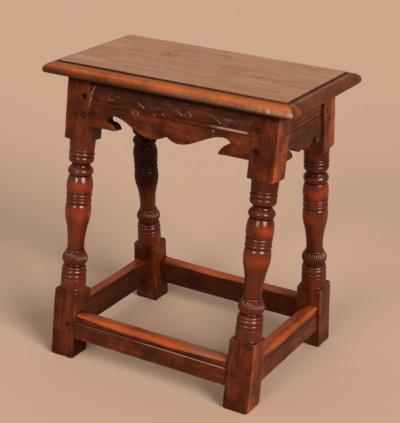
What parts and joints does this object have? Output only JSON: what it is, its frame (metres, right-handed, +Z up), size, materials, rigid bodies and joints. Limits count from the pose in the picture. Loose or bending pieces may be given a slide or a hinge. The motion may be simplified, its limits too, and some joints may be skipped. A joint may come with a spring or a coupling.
{
  "type": "joint stool",
  "caption": "Joint stool with a moulded seat board on splayed turned legs, shaped aprons with a scratched bead, and low stretchers, joined with pegged tenons.",
  "frame": {"origin": "on the floor under the centre of the seat", "axes": "+X along the seat, to the right as seen from the front; -Y is the front; +Z is up"},
  "size_m": [0.479, 0.339, 0.54],
  "materials": {
    "seat_oak": "waxed, worn satin on the field and polished on the moulding",
    "frame_oak": "dark red-brown stain under wax, rubbed through to orange on worn arrises",
    "peg_oak": "dark waxed end grain of the shaved pegs"
  },
  "bodies": {
    "root": {"apron_back": "frame_oak", "apron_front": "frame_oak", "apron_left": "frame_oak", "apron_pegs_back_left": "peg_oak", "apron_pegs_back_right": "peg_oak", "apron_pegs_front_left": "peg_oak", "apron_pegs_front_right": "peg_oak", "apron_right": "frame_oak", "leg_back_left": "frame_oak", "leg_back_right": "frame_oak", "leg_front_left": "frame_oak", "leg_front_right": "frame_oak", "seat_board": "seat_oak", "seat_pegs": "peg_oak", "stretcher_back": "frame_oak", "stretcher_front": "frame_oak", "stretcher_left": "frame_oak", "stretcher_pegs_back_left": "peg_oak", "stretcher_pegs_back_right": "peg_oak", "stretcher_pegs_front_left": "peg_oak", "stretcher_pegs_front_right": "peg_oak", "stretcher_right": "frame_oak"}
  },
  "joints": []
}
